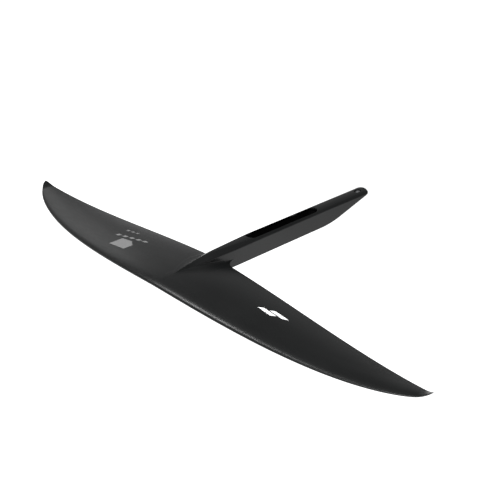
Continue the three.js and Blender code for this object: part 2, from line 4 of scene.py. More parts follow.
import bmesh
import bpy
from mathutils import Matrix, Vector


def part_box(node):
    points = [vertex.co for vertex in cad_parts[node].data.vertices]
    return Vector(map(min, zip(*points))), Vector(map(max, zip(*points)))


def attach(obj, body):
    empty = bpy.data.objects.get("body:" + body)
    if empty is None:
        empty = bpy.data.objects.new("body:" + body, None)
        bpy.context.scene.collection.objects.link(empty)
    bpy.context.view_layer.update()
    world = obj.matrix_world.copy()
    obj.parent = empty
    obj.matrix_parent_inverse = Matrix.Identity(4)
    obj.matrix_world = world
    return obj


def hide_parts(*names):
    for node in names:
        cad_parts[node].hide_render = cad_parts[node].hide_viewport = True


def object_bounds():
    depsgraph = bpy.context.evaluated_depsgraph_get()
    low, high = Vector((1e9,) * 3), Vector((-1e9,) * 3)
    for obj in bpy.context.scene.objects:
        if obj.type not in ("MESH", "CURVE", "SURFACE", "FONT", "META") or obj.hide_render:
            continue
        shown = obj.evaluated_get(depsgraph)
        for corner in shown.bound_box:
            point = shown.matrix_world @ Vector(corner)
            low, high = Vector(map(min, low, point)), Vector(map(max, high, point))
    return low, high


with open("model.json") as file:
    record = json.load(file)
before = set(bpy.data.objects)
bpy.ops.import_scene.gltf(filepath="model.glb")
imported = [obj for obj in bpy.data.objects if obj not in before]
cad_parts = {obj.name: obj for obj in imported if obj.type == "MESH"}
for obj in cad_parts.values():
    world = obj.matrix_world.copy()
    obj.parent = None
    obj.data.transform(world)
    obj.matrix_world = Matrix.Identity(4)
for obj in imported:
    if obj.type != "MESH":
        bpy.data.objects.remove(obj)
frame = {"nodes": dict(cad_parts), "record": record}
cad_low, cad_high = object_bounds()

MM = 0.001

# ---- Looks: colours, and levels of the surround and of the floor's glow ----
SKIN_DARK = (0.0032, 0.0035, 0.0036)
SKIN_LIGHT = (0.0055, 0.0059, 0.006)
SKIN_SPECULAR = 0.25
SKY_LEVELS = [(0.0, 0.03), (0.15, 0.15), (0.3, 0.6), (0.42, 0.38), (0.6, 0.12), (1.0, 0.5)]  # by height
GLOW_BEHIND = 0.93
GLOW_AHEAD = 1.35
GLOW_LENGTH = 0.26
TOW_WIDTH = 0.0028

# ---- Wing: driving dimensions, as in the CAD but for the finer tip and the blunter leading edge ----
HALF_SPAN = 460
TIP_END = cad_high.x / MM / HALF_SPAN - 0.00002
TIP_ROUND_START = 0.986
ROOT_CHORD = 132.6
CHORD_POWER = 1.695
CHORD_ROUNDING = 0.601
ROOT_TRAILING_Y = -134.5
ROOT_TRAILING_Z = 1
TRAILING_SWEEP = 4.3
SWEEP_POWER = 4
DROOP = 62.6
DROOP_POWER = 1.5
DROOP_RECOVERY = 36.5
RECOVERY_POWER = 3.5
FLICK_START = 0.955
FLICK_RISE = 7.0
FLICK_SWEEP = 3.2
INCIDENCE = math.tan(math.radians(1.885))
CAMBER = 0.018
THICKNESS = 0.082
REAR_FULLNESS = 0.3
THICKEST_VALUE = 0.4258
EDGE_HALF = 0.5
NOSE_RISE = 1.3
NOSE_RISE_LENGTH = 8
NOSE_RISE_END = 45
LOWEST_Z = cad_low.z / MM + 0.005

# ---- Fuselage: driving dimensions, as in the CAD but for its finer tail, belly corner and fillets ----
FUSELAGE_HALF_WIDTH = 13.3
NOSE_Y = -240
NOSE_LENGTH = 145
NOSE_POWER = 0.9
TAIL_Y = cad_high.y / MM - 0.01
TAIL_ROUNDING = 9.5
TAIL_SQUARENESS = 2.8
CROWN_Z = cad_high.z / MM - 0.005
CROWN_BEND = 0.8
RIDGE_END_Y = -148
RIDGE_LENGTH = 92
RIDGE_DROP = 13.5
RIDGE_POWER = 1.5
RIM_HALF_WIDTH = 9.5
RIM_LEAST_HALF_WIDTH = 0.8
RIM_START_Y = -181.1
RIM_SLOPE = 0.083
RIM_SHARE = 0.72
SHOULDER_DROP = 4.4
SHOULDER_SLOPE = 0.0118
SHOULDER_LEAST_DROP = 3.4
SHOULDER_SHARE = 0.45
BELLY_Z = -11.5
BELLY_SLOPE = 0.0155
BELLY_FAIRING_Y = -120
BELLY_FAIRING_LENGTH = 110
BELLY_FAIRING_RISE = 17
BELLY_FAIRING_POWER = 1.8
BELLY_CORNER = 1.2
SEAT_SLOPE = 0.305
SEAT_BEND_Y = 99.8
SEAT_BEND_HALF = 22
SEAM_RISE = 19.3
SEAM_RISE_Y = 40
SEAM_RISE_POWER = 1.6
FILLET_OUT = 19
FILLET_UP = 4.5
FILLET_BEHIND = 22
FILLET_FULL_Y = -165
RIM_EASE = 1.5  # the corners of the section are eased over this length on each side
SHOULDER_EASE = 1.3
SIDE_DEPTH = 40  # the sides are carried on this far, to find where they meet the wing
EMERGENCE_HEIGHT = 3.5  # the ridge takes its full section once it stands this high over the wing
BLEND_HEIGHT = 0.3  # rounds the line along which the ridge comes out of the wing
BLEND_FADE = 2.5  # and is gone once the ridge stands this high

# ---- Openings ----
SLOT_HALF_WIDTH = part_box("mast_socket")[1].x / MM - 1.9
SLOT_HALF_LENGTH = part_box("mast_socket")[1].y / MM - 1.9
SOCKET_RIM_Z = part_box("mast_socket")[1].z / MM
MAST_BOLT_Y = 50
MAST_BOLT_RADIUS = 4.3
MAST_HEAD_RADIUS = 8.2
SLEEVE_RECESS = 0.15
POCKET_Y = 174.5
POCKET_HALF_WIDTH = 4.5
POCKET_HALF_LENGTH = 6.5
POCKET_FLOOR_Z = 19.4
TAIL_BOLT_Y = POCKET_Y + 2
TAIL_BOLT_RADIUS = 3.1
INSERT_Y = 142
INSERT_THREAD_RADIUS = 2.6
INSERT_THREAD_DEPTH = 11
SEAT_PLAY = 0.03  # room left round the pieces that sit in the shell
EDGE_EASE = 0.45  # how far the openings' edges are rounded
EDGE_STEPS = 4
BORE_EASE = 0.3
PAST = 5  # how far the cutters run past the belly


# ---- Shape functions: t runs 0 to 1 from root to tip, u 0 to 1 from leading to trailing edge ----
def clamp(value, low=0.0, high=1.0):
    return max(low, min(high, value))


def smoothstep(value, low, high):
    share = clamp((value - low) / (high - low))
    return share * share * (3 - 2 * share)


def mix(a, b, share):
    return a + (b - a) * share


def rounding(share):
    """Height of a quarter circle, 0 at share 0 and 1 from share 1 on."""
    return math.sqrt(max(0.0, 1 - (1 - min(share, 1)) ** 2))


def chord(t):
    return ROOT_CHORD * max(0.0, 1 - t**CHORD_POWER) ** CHORD_ROUNDING


def tip_flick(t):
    return max(0.0, (t - FLICK_START) / (1 - FLICK_START)) ** 2


def trailing_y(t):
    return ROOT_TRAILING_Y - TRAILING_SWEEP * t**SWEEP_POWER - FLICK_SWEEP * tip_flick(t)


def trailing_z(t):
    droop = DROOP * t**DROOP_POWER - DROOP_RECOVERY * t**RECOVERY_POWER
    return ROOT_TRAILING_Z - droop + FLICK_RISE * tip_flick(t)


def tip_rounding(t):
    return rounding((TIP_END - t) / (TIP_END - TIP_ROUND_START))


def wing_y(t, u):
    middle = trailing_y(t) - chord(t) / 2
    return middle + chord(t) * (u - 0.5) * tip_rounding(t)


def nose_rise(back):
    """Makes the upper side of the leading edge blunter; back is the distance from the edge."""
    fade = smoothstep(back, NOSE_RISE_LENGTH, NOSE_RISE_END)
    return NOSE_RISE * rounding(back / NOSE_RISE_LENGTH) * (1 - fade)


def wing_z(t, u, side, trailing_round=True):
    """Upper (side 1) or lower (side -1) surface, with rounded leading and trailing edges."""
    edge = EDGE_HALF * rounding(u * chord(t) / EDGE_HALF)
    if trailing_round:
        edge *= rounding((1 - u) * chord(t) / EDGE_HALF)
    shape = math.sqrt(u) * (1 - u) * (1 + REAR_FULLNESS * u) / THICKEST_VALUE
    half = (edge + THICKNESS / 2 * chord(t) * shape) * tip_rounding(t)
    if side > 0:
        half += nose_rise(u * chord(t)) * tip_rounding(t) * chord(t) / ROOT_CHORD
    middle = trailing_z(t) + chord(t) * (1 - u) * (INCIDENCE + 4 * CAMBER * u)
    return max(middle + side * half, LOWEST_Z)


def seam_z(x, y):
    """The skins' seam along the fuselage, behind the trailing edge."""
    aft = max(0.0, (y - SEAM_RISE_Y) / (TAIL_Y - SEAM_RISE_Y))
    return trailing_z(abs(x) / HALF_SPAN) + SEAM_RISE * aft**SEAM_RISE_POWER


def fuselage_half_width(y):
    nose = clamp((y - NOSE_Y) / NOSE_LENGTH)
    tail = clamp((y - TAIL_Y + TAIL_ROUNDING) / TAIL_ROUNDING)
    nose_shape = math.sin(nose * math.pi / 2) ** NOSE_POWER
    return FUSELAGE_HALF_WIDTH * nose_shape * (1 - tail**TAIL_SQUARENESS) ** (1 / TAIL_SQUARENESS)


def crown_z(y):
    return CROWN_Z - RIDGE_DROP * max(0.0, (RIDGE_END_Y - y) / RIDGE_LENGTH) ** RIDGE_POWER


def belly_z(y):
    bend = clamp(y - SEAT_BEND_Y + SEAT_BEND_HALF, 0, 2 * SEAT_BEND_HALF)
    beyond = max(0.0, y - SEAT_BEND_Y - SEAT_BEND_HALF)
    seat = (SEAT_SLOPE - BELLY_SLOPE) * (bend**2 / (4 * SEAT_BEND_HALF) + beyond)
    ahead = max(0.0, (BELLY_FAIRING_Y - y) / BELLY_FAIRING_LENGTH)
    return BELLY_Z + BELLY_SLOPE * y + seat + BELLY_FAIRING_RISE * ahead**BELLY_FAIRING_POWER


def fillet_reach(y):
    behind = clamp((y - ROOT_TRAILING_Y) / FILLET_BEHIND)
    return FILLET_OUT * smoothstep(y, NOSE_Y, FILLET_FULL_Y) * (1 - rounding(behind))


# ---- Lines in a cross section: lists of (x, z) ----
CROWN_STEPS = 8
EASE_STEPS = 6
BELLY_CORNER_STEPS = 8
FILLET_STEPS = 24


def distances(line):
    total = [0.0]
    for (x0, z0), (x1, z1) in zip(line, line[1:]):
        total.append(total[-1] + math.hypot(x1 - x0, z1 - z0))
    return total


def point_at(line, along, distance):
    for i in range(1, len(line)):
        if distance <= along[i] or i == len(line) - 1:
            step = along[i] - along[i - 1]
            share = clamp((distance - along[i - 1]) / step) if step > 1e-9 else 0
            return mix(line[i - 1][0], line[i][0], share), mix(line[i - 1][1], line[i][1], share)
    return line[0]


def bezier(start, control, end, count):
    points = []
    for k in range(count + 1):
        s = k / count
        a, b, c = (1 - s) ** 2, 2 * s * (1 - s), s * s
        points.append(tuple(a * p + b * q + c * r for p, q, r in zip(start, control, end)))
    return points


def eased_corner(before, corner, after, ease):
    """The corner's curve, begun and ended this far from it."""
    ends = []
    for other in (before, after):
        length = math.hypot(other[0] - corner[0], other[1] - corner[1])
        share = min(ease / max(length, 1e-6), 0.45)
        ends.append((mix(corner[0], other[0], share), mix(corner[1], other[1], share)))
    return bezier(ends[0], corner, ends[1], EASE_STEPS)


def crown_line(y):
    """From the crown's middle over the rim and the shoulder, and the places of its corners."""
    width = fuselage_half_width(y)
    rim = min(clamp(RIM_SLOPE * (y - RIM_START_Y), RIM_LEAST_HALF_WIDTH, RIM_HALF_WIDTH), RIM_SHARE * width)
    height = crown_z(y) - belly_z(y)
    drop = min(max(SHOULDER_DROP - SHOULDER_SLOPE * y, SHOULDER_LEAST_DROP), SHOULDER_SHARE * height)
    crown = []
    for k in range(CROWN_STEPS + 1):
        x = rim * k / CROWN_STEPS
        crown.append((x, crown_z(y) - CROWN_BEND * (x / RIM_HALF_WIDTH) ** 2))
    shoulder = (width, crown_z(y) - drop)
    rim_curve = eased_corner(crown[-3], crown[-1], shoulder, RIM_EASE)
    below = (width, shoulder[1] - 12)
    shoulder_curve = eased_corner(crown[-1], shoulder, below, SHOULDER_EASE)
    line = [p for p in crown if p[0] < rim_curve[0][0] - 1e-6] + rim_curve + shoulder_curve
    shoulder_start = len(line) - len(shoulder_curve)
    rim_start = shoulder_start - len(rim_curve)
    return line, [rim_start, shoulder_start - 1, shoulder_start, len(line) - 1]


def belly_line(y):
    """From the belly's middle to the side, and the places of its marks."""
    width = fuselage_half_width(y)
    corner = min(BELLY_CORNER, 0.3 * (crown_z(y) - belly_z(y)), 0.6 * width)
    line = [(0, belly_z(y)), ((width - corner) / 2, belly_z(y))]
    for k in range(BELLY_CORNER_STEPS + 1):
        a = k / BELLY_CORNER_STEPS * math.pi / 2
        line.append((width - corner + corner * math.sin(a), belly_z(y) + corner * (1 - math.cos(a))))
    return line, [1, 2, 2 + BELLY_CORNER_STEPS // 2, len(line) - 1]


SECTION_COUNTS = [8, 8, 4, 8, 10]  # steps between the section's marks: crown, rim, shoulder and side
FILLET_COUNT = 18
EDGE_COUNT = 4
SECTION_COUNT = sum(SECTION_COUNTS) + FILLET_COUNT + EDGE_COUNT


def crossing(along, heights):
    """How far along a line its height over the wing comes down to nothing."""
    for i in range(1, len(along)):
        if heights[i] <= 0:
            share = heights[i - 1] / (heights[i - 1] - heights[i])
            return mix(along[i - 1], along[i], share)
    return along[-1]


def column_places(marks, last, length):
    """How far along the section its columns lie: steps from corner to corner, then over the fillet."""
    corners = [0.0]
    for mark, share in zip(marks, (0.3, 0.45, 0.6, 0.8)):
        corners.append(max(corners[-1] + 1e-4, min(mark, share * last)))
    corners.append(last)
    places = [0.0]
    for count, start, end in zip(SECTION_COUNTS, corners, corners[1:]):
        places += [mix(start, end, (k + 1) / count) for k in range(count)]
    return places + [mix(last, length, (k + 1) / FILLET_COUNT) for k in range(FILLET_COUNT)]


def height_of(line, x):
    """The outline's height at x."""
    for (x0, z0), (x1, z1) in zip(line, line[1:]):
        if x <= x1 and x1 > x0:
            return mix(z0, z1, (x - x0) / (x1 - x0))
    return line[-1][1]


def half_section(y, side, full_z, edge_z, foot):
    """Half a cross section from the middle to the fillet's foot. full_z(x) is the wing's surface with
    its whole edge thickness, and edge_z is the height of the foot's rounded end."""
    line, marks = crown_line(y) if side > 0 else belly_line(y)
    stand = side * (line[0][1] - full_z(0))
    line = line + [(line[-1][0], line[-1][1] - side * k) for k in range(1, SIDE_DEPTH + 1)]
    along = distances(line)
    reach = fillet_reach(y)
    edge = EDGE_HALF * clamp(reach / 3)
    end = (foot - edge, full_z(foot - edge))
    if stand > 0:
        meeting = crossing(along, [side * (z - full_z(x)) for x, z in line])
        last = meeting - min(FILLET_UP, meeting / 2) * clamp(reach / FILLET_OUT, 0.05, 1)
        fillet = bezier(point_at(line, along, last), point_at(line, along, meeting), end, FILLET_STEPS)
        body = [p for p, d in zip(line, along) if d < last - 1e-6] + fillet
    else:
        last = 0.0
        inner = [end[0] * k / FILLET_STEPS for k in range(FILLET_STEPS + 1)]
        body = [(x, full_z(x)) for x in inner]
    body_along = distances(body)
    places = column_places([along[mark] for mark in marks], last, body_along[-1])
    detail = smoothstep(stand, 0, EMERGENCE_HEIGHT)
    fade = 1 - smoothstep(stand, 0, BLEND_FADE) if y < ROOT_TRAILING_Y else 0
    columns = []
    for k, place in enumerate(places):
        even = body_along[-1] * k / (len(places) - 1)
        x, outline_z = point_at(body, body_along, mix(even, place, detail))
        if stand <= 0:
            outline_z = height_of(line, x)
        apart = side * (outline_z - full_z(x))
        blend = BLEND_HEIGHT * fade * (1 - (x / max(foot, 1e-6)) ** 2)
        columns.append((x, full_z(x) + side * (apart + math.hypot(apart, blend)) / 2))
    columns[-1] = end
    for k in range(1, EDGE_COUNT + 1):
        a = k / EDGE_COUNT * math.pi / 2
        columns.append((end[0] + edge * math.sin(a), mix(edge_z, end[1], math.cos(a))))
    return columns


# ---- The moulded shell ----
CHORD_ROWS = 60
TRAILING_ROWS = [1.6, 0.9, 0.5, 0.32, 0.16, 0.05, 0]  # mm ahead of the trailing edge at the root


def chord_rows():
    rows = [(k / CHORD_ROWS) ** 2 for k in range(CHORD_ROWS + 1)]
    rows = [u for u in rows if u < 1 - 2.4 / ROOT_CHORD]
    return rows + [1 - short / ROOT_CHORD for short in TRAILING_ROWS]


def spaced(start, end, step):
    count = max(1, round(abs(end - start) / step))
    return [mix(start, end, (k + 1) / count) for k in range(count)]


def aft_rows():
    turn = [k / 15 * math.pi / 2 for k in range(1, 16)]
    rows = [ROOT_TRAILING_Y + FILLET_BEHIND * (1 - math.cos(a)) for a in turn]
    bend_start, bend_end = SEAT_BEND_Y - SEAT_BEND_HALF, SEAT_BEND_Y + SEAT_BEND_HALF
    rows += spaced(rows[-1], bend_start, 5)
    rows += spaced(bend_start, bend_end, 2.5)
    rows += spaced(bend_end, TAIL_Y - TAIL_ROUNDING, 4)
    for k in range(1, 16):
        share = math.sin(k / 15 * math.pi / 2) ** (2 / TAIL_SQUARENESS)
        rows.append(TAIL_Y - TAIL_ROUNDING * (1 - share))
    return rows


def span_shares():
    """Where the wing's columns lie, 0 at the fillet's foot and 1 at the tip."""
    shares = spaced(0, 0.955, 0.0085)
    shares += spaced(0.955, TIP_ROUND_START, 0.0035)
    rounded = [math.sin(k / 10 * math.pi / 2) for k in range(1, 11)]
    return shares + [mix(TIP_ROUND_START, 1, share) for share in rounded]


def foot_of(y):
    """Where the fillet ends on the wing, or on the web behind the wing."""
    least = 6 * (1 - smoothstep(y, -236, -190))
    return max(fuselage_half_width(y) + fillet_reach(y), least)


def wing_row(u, side):
    y = wing_y(0, u)
    foot = foot_of(y)

    def full_z(x):
        return wing_z(x / HALF_SPAN, u, side, trailing_round=False)

    edge_z = wing_z(foot / HALF_SPAN, u, side)
    section = half_section(y, side, full_z, edge_z, foot)
    points = [(x, wing_y(x / HALF_SPAN, u), z) for x, z in section]
    for share in span_shares():
        t = mix(foot / HALF_SPAN, TIP_END, share)
        points.append((t * HALF_SPAN, wing_y(t, u), wing_z(t, u, side)))
    return points


def aft_row(y, side):
    foot = foot_of(y)

    def full_z(x):
        return seam_z(x, y) + side * EDGE_HALF

    section = half_section(y, side, full_z, seam_z(foot, y), foot)
    return [(x, y, z) for x, z in section]


def shell_mesh():
    """The outer surface as one closed mesh: rows from the leading edge back to the tail."""
    chord_shares, tail_rows = chord_rows(), aft_rows()
    trailing = len(chord_shares) - 1
    bm = bmesh.new()
    grids = {}
    for side in (1, -1):
        rows = [wing_row(u, side) for u in chord_shares] + [aft_row(y, side) for y in tail_rows]
        for hand in (1, -1):
            grid = []
            for i, row in enumerate(rows):
                line = []
                for j, (x, y, z) in enumerate(row):
                    twin = None
                    if hand < 0 and (j == 0 or i == len(rows) - 1):
                        twin = grids[side, 1][i][j]
                    elif side < 0 and shared_edge(i, j, trailing):
                        twin = grids[1, hand][i][j]
                    elif i > 0 and i <= trailing and j == len(row) - 1:
                        twin = grid[0][j]
                    line.append(twin or bm.verts.new((hand * x * MM, y * MM, z * MM)))
                grid.append(line)
            grids[side, hand] = grid
    for grid in grids.values():
        for near, far in zip(grid, grid[1:]):
            for j in range(min(len(near), len(far)) - 1):
                corners = list(dict.fromkeys([near[j], near[j + 1], far[j + 1], far[j]]))
                if len(corners) > 2:
                    bm.faces.new(corners)
    bmesh.ops.remove_doubles(bm, verts=bm.verts, dist=1e-6)
    bmesh.ops.recalc_face_normals(bm, faces=bm.faces)
    return bm


def shared_edge(i, j, trailing):
    """True where the upper and the lower surface meet."""
    if i == 0:
        return True
    if i == trailing:
        return j >= SECTION_COUNT
    return i > trailing and j == SECTION_COUNT


def mesh_object(name, bm):
    mesh = bpy.data.meshes.new(name)
    bm.to_mesh(mesh)
    bm.free()
    piece = bpy.data.objects.new(name, mesh)
    bpy.context.scene.collection.objects.link(piece)
    return piece


def shade(piece, degrees):
    piece.data.shade_smooth()
    piece.data.set_sharp_from_angle(angle=math.radians(degrees))


# ---- Cutters ----
def ring_solid(bm, rings):
    """A closed solid through rings of points, each with the same count."""
    made = [[bm.verts.new(Vector(p) * MM) for p in ring] for ring in rings]
    count = len(made[0])
    for near, far in zip(made, made[1:]):
        for j in range(count):
            k = (j + 1) % count
            bm.faces.new([near[j], near[k], far[k], far[j]])
    bm.faces.new(made[0][::-1])
    bm.faces.new(made[-1])


def obround(half_width, half_length, y, steps=24):
    straight = half_length - half_width
    points = []
    for end, start in ((1, 0), (-1, math.pi)):
        for k in range(steps + 1):
            a = start + k / steps * math.pi
            points.append((half_width * math.cos(a), y + end * straight + half_width * math.sin(a)))
    return points


def crown_surface(x, y):
    line, _ = crown_line(y)
    return height_of(line, abs(x))


def eased_opening(half_width, half_length, y, bottom_z):
    """Rings of a straight-sided hole from the crown down, whose upper edge is rounded."""
    rings = [[(px, py, bottom_z) for px, py in obround(half_width, half_length, y)]]
    for k in range(EDGE_STEPS + 1):
        a = k / EDGE_STEPS * math.pi / 2
        out = EDGE_EASE * (1 - math.cos(a))
        down = EDGE_EASE * (1 - math.sin(a))
        wide = obround(half_width + out, half_length + out, y)
        rings.append([(px, py, crown_surface(px, py) - down) for px, py in wide])
    wide = obround(half_width + EDGE_EASE + 0.6, half_length + EDGE_EASE + 0.6, y)
    rings.append([(px, py, crown_surface(px, py) + 0.4) for px, py in wide])
    rings.append([(px, py, CROWN_Z + 3) for px, py in wide])
    return rings


def socket_room():
    """Rings of the room for the mast socket, under the slot."""
    low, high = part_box("mast_socket")
    outline = obround(high.x / MM + SEAT_PLAY, high.y / MM + SEAT_PLAY, 0)
    levels = (low.z / MM - SEAT_PLAY, SOCKET_RIM_Z + SEAT_PLAY)
    return [[(px, py, z) for px, py in outline] for z in levels]


def round_hole(bm, profile, y, z, tilt=0.0):
    """A turned hole along a line through (0, y, z), tilted back from +Z. profile is (radius, height)."""
    rings = []
    for radius, height in profile:
        ring = []
        for k in range(48):
            a = k / 48 * 2 * math.pi
            across, along = radius * math.cos(a), radius * math.sin(a)
            ring.append((
                across,
                y + along * math.cos(tilt) - height * math.sin(tilt),
                z + along * math.sin(tilt) + height * math.cos(tilt),
            ))
        rings.append(ring)
    ring_solid(bm, rings)


def cut(piece, cutter):
    modifier = piece.modifiers.new("cut", "BOOLEAN")
    modifier.operation = "DIFFERENCE"
    modifier.solver = "MANIFOLD"
    modifier.object = cutter
    depsgraph = bpy.context.evaluated_depsgraph_get()
    result = bpy.data.meshes.new_from_object(piece.evaluated_get(depsgraph))
    piece.modifiers.clear()
    piece.data = result
    bpy.data.objects.remove(cutter)


def openings_cutter():
    bm = bmesh.new()
    slot = eased_opening(SLOT_HALF_WIDTH, SLOT_HALF_LENGTH, 0, SOCKET_RIM_Z + SEAT_PLAY)
    ring_solid(bm, socket_room() + slot)
    ring_solid(bm, eased_opening(POCKET_HALF_WIDTH, POCKET_HALF_LENGTH, POCKET_Y, POCKET_FLOOR_Z))
    bmesh.ops.recalc_face_normals(bm, faces=bm.faces)
    return mesh_object("openings_cutter", bm)


def bores_cutter():
    """The bolts' bores from below, a hair wider than those of their sleeves."""
    bm = bmesh.new()
    bolt, head = MAST_BOLT_RADIUS + SEAT_PLAY, MAST_HEAD_RADIUS
    for y in (-MAST_BOLT_Y, MAST_BOLT_Y):
        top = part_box("mast_socket")[0].z / MM - belly_z(y) + 1
        profile = [(head, -PAST), (head, SLEEVE_RECESS), (bolt, SLEEVE_RECESS + head - bolt), (bolt, top)]
        round_hole(bm, profile, y, belly_z(y))
    tilt = math.atan(SEAT_SLOPE)
    through = (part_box("stabiliser_bolt_sleeve")[1].z / MM - belly_z(TAIL_BOLT_Y)) * math.cos(tilt)
    for y, radius, depth in (
        (TAIL_BOLT_Y, TAIL_BOLT_RADIUS + SEAT_PLAY, through),
        (INSERT_Y, INSERT_THREAD_RADIUS + SEAT_PLAY, INSERT_THREAD_DEPTH),
    ):
        mouth = radius + BORE_EASE
        profile = [(mouth, -PAST), (mouth, 0), (radius, BORE_EASE), (radius, depth)]
        round_hole(bm, profile, y, belly_z(y), tilt)
    bmesh.ops.recalc_face_normals(bm, faces=bm.faces)
    return mesh_object("bores_cutter", bm)


def inner_pieces_cutter():
    """The room that the cores, the spar and the sockets take inside the shell."""
    bm = bmesh.new()
    for name, node in frame["nodes"].items():
        if name not in ("upper_skin", "lower_skin"):
            bm.from_mesh(node.data)
    bmesh.ops.remove_doubles(bm, verts=bm.verts, dist=1e-6)
    return mesh_object("inner_pieces_cutter", bm)


def make_shell():
    shell = mesh_object("moulded_carbon_shell", shell_mesh())
    cut(shell, openings_cutter())
    cut(shell, bores_cutter())
    cut(shell, inner_pieces_cutter())
    shade(shell, 32)
    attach(shell, "root")
    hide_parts("upper_skin", "lower_skin")
    return shell


# ---- Printed marks: thin closed films on the upper surface ----
FILM_TOP = 0.05
FILM_BOTTOM = -0.15
FILM_STEP = 3.0  # the longest edge of a film's faces
FILM_DIVISIONS = 5


def upper_z(x, y):
    t = abs(x) / HALF_SPAN
    return wing_z(t, clamp(1 - (trailing_y(t) - y) / chord(t)), 1)


def film(name, outlines):
    """One thin film of separate plain shapes, each an outline in plan."""
    bm = bmesh.new()
    for outline in outlines:
        verts = [bm.verts.new((x, y, 0)) for x, y in outline]
        bm.faces.new(verts)
    bmesh.ops.triangulate(bm, faces=bm.faces)
    for _ in range(FILM_DIVISIONS):
        long = [e for e in bm.edges if e.calc_length() > FILM_STEP]
        if not long:
            break
        bmesh.ops.subdivide_edges(bm, edges=long, cuts=1)
        bmesh.ops.triangulate(bm, faces=bm.faces)
    top = list(bm.faces)
    bottom = bmesh.ops.duplicate(bm, geom=list(bm.verts) + list(bm.edges) + top)
    low_faces = [g for g in bottom["geom"] if isinstance(g, bmesh.types.BMFace)]
    low_verts = {v for face in low_faces for v in face.verts}
    bmesh.ops.reverse_faces(bm, faces=low_faces)
    border = [e for e in bm.edges if e.is_boundary]
    for v in bm.verts:
        offset = FILM_BOTTOM if v in low_verts else FILM_TOP
        v.co.z = upper_z(v.co.x, v.co.y) + offset
    close_sides(bm, border, bottom["vert_map"])
    for v in bm.verts:
        v.co *= MM
    bmesh.ops.recalc_face_normals(bm, faces=bm.faces)
    piece = mesh_object(name, bm)
    shade(piece, 40)
    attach(piece, "root")
    return piece


def close_sides(bm, border, twin):
    """Faces between the border of the top and the border of its lower twin."""
    for edge in border:
        a, b = edge.verts
        if a in twin and b in twin and twin[a].co.z < a.co.z:
            bm.faces.new([a, b, twin[b], twin[a]])


def slanted(x0, x1, y, width, lean):
    """A bar along the span, with leaning ends."""
    low, high = y - width / 2, y + width / 2
    return [(x0, low), (x1 - lean, low), (x1, high), (x0 + lean, high)]


def grey_shapes():
    """A plain block, and rows of short bars behind it."""
    shapes = [[(-166, -225), (-130, -224), (-130, -206), (-144, -196), (-166, -198)]]
    shapes += [slanted(-189 + 14 * k, -178.5 + 14 * k, -192 + 2.6 * k, 6, 2.5) for k in range(5)]
    shapes += [slanted(-193 + 10.5 * k, -185.5 + 10.5 * k, -168 + 1.2 * k, 4.5, 2) for k in range(3)]
    return shapes


# ---- Materials ----
def material(name, build):
    made = bpy.data.materials.new(name)
    made.use_nodes = True
    tree = made.node_tree
    tree.nodes.clear()
    output = tree.nodes.new("ShaderNodeOutputMaterial")
    shader = tree.nodes.new("ShaderNodeBsdfPrincipled")
    tree.links.new(shader.outputs["BSDF"], output.inputs["Surface"])
    build(tree, shader)
    return made


def node(tree, kind, inputs=None, **settings):
    made = tree.nodes.new(kind)
    for key, value in settings.items():
        setattr(made, key, value)
    for key, value in (inputs or {}).items():
        if isinstance(value, bpy.types.NodeSocket):
            tree.links.new(value, made.inputs[key])
        else:
            made.inputs[key].default_value = value
    return made


def position(tree):
    return node(tree, "ShaderNodeTexCoord").outputs["Object"]


def stretched(tree, scale, turn=(0, 0, 0)):
    inputs = {"Vector": position(tree), "Scale": scale, "Rotation": turn}
    return node(tree, "ShaderNodeMapping", inputs).outputs["Vector"]


def noise(tree, vector, scale, detail=3.0, roughness=0.5):
    inputs = {"Vector": vector, "Scale": scale, "Detail": detail, "Roughness": roughness}
    return node(tree, "ShaderNodeTexNoise", inputs).outputs["Fac"]


def ramp(tree, factor, low, high, start=0.3, end=0.7):
    """A value that goes from low to high as the factor goes from start to end."""
    inputs = {"Value": factor, "From Min": start, "From Max": end, "To Min": low, "To Max": high}
    return node(tree, "ShaderNodeMapRange", inputs).outputs["Result"]


def blended_colour(tree, factor, low, high):
    made = node(tree, "ShaderNodeMix", data_type="RGBA")
    for key, value in (("Factor", factor), ("A", (*low, 1)), ("B", (*high, 1))):
        socket = [s for s in made.inputs if s.name == key and s.enabled][0]
        if isinstance(value, bpy.types.NodeSocket):
            tree.links.new(value, socket)
        else:
            socket.default_value = value
    return [s for s in made.outputs if s.enabled][0]


def added(tree, first, second, share):
    """first plus share times second."""
    inputs = {0: second, 1: share, 2: first}
    return node(tree, "ShaderNodeMath", inputs, operation="MULTIPLY_ADD").outputs[0]


def bump(tree, height, strength, distance):
    inputs = {"Height": height, "Strength": strength, "Distance": distance}
    return node(tree, "ShaderNodeBump", inputs).outputs["Normal"]


def twill(tree, tow):
    """Carbon twill seen in plan: bands along two crossed directions."""
    waves = []
    for turn in (math.radians(45), math.radians(-45)):
        vector = stretched(tree, (1, 1, 1), (0, 0, turn))
        inputs = {"Vector": vector, "Scale": 0.5 / tow, "Distortion": 0.0}
        waves.append(node(tree, "ShaderNodeTexWave", inputs).outputs["Fac"])
    return node(tree, "ShaderNodeMath", {0: waves[0], 1: waves[1]}, operation="MULTIPLY").outputs[0]


